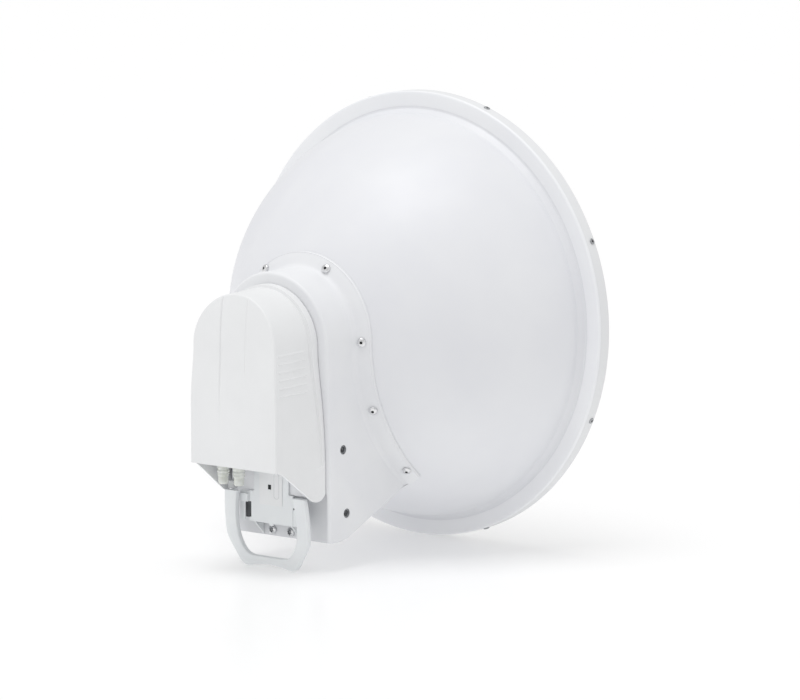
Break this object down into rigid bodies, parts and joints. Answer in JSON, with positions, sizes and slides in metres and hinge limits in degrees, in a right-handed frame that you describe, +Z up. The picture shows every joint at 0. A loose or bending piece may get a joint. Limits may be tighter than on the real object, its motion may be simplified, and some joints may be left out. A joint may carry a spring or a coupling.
{
  "type": "parabolic dish antenna",
  "caption": "Point-to-point microwave dish with a domed radome in front and a radio unit under a tombstone-shaped cover behind, with a pull handle below.",
  "frame": {"origin": "centre of the right-hand side pad of the rear housing, midway between its two bolt holes, where the mast bracket bolts on", "axes": "+X out of the right-hand pad, to the right of someone who looks the way the dish does; +Y the way the dish looks; +Z up"},
  "size_m": [0.65, 0.459, 0.65],
  "materials": {
    "shell_white": "satin white powder coat",
    "moulded_white": "moulded, fine matt texture",
    "pale_grey": "matt pale grey",
    "frosted_boot": "frosted silicone",
    "stainless": "stainless steel screws and bushes"
  },
  "bodies": {
    "root": {"back_plate": "moulded_white", "carrier_plate": "moulded_white", "connector_boot_1": "frosted_boot", "connector_boot_2": "frosted_boot", "flange_screw_1": "stainless", "flange_screw_2": "stainless", "flange_screw_3": "stainless", "flange_screw_4": "stainless", "flange_screw_5": "stainless", "flange_screw_6": "stainless", "flange_screw_7": "stainless", "flange_screw_8": "stainless", "housing_floor": "moulded_white", "housing_shell": "moulded_white", "label_plate": "moulded_white", "plate_screw_left": "stainless", "plate_screw_right": "stainless", "port_tab": "pale_grey", "pull_handle": "moulded_white", "radio_base": "moulded_white", "radio_cover": "moulded_white", "radio_shelf": "moulded_white", "radio_unit": "pale_grey", "radome": "moulded_white", "reflector_shell": "shell_white", "rim_ring": "shell_white", "rim_screw_1": "stainless", "rim_screw_2": "stainless", "rim_screw_3": "stainless", "rim_screw_4": "stainless", "rim_screw_5": "stainless", "rim_screw_6": "stainless", "rim_screw_7": "stainless", "rim_screw_8": "stainless", "side_insert_left_1": "stainless", "side_insert_left_2": "stainless", "side_insert_right_1": "stainless", "side_insert_right_2": "stainless"}
  },
  "joints": []
}
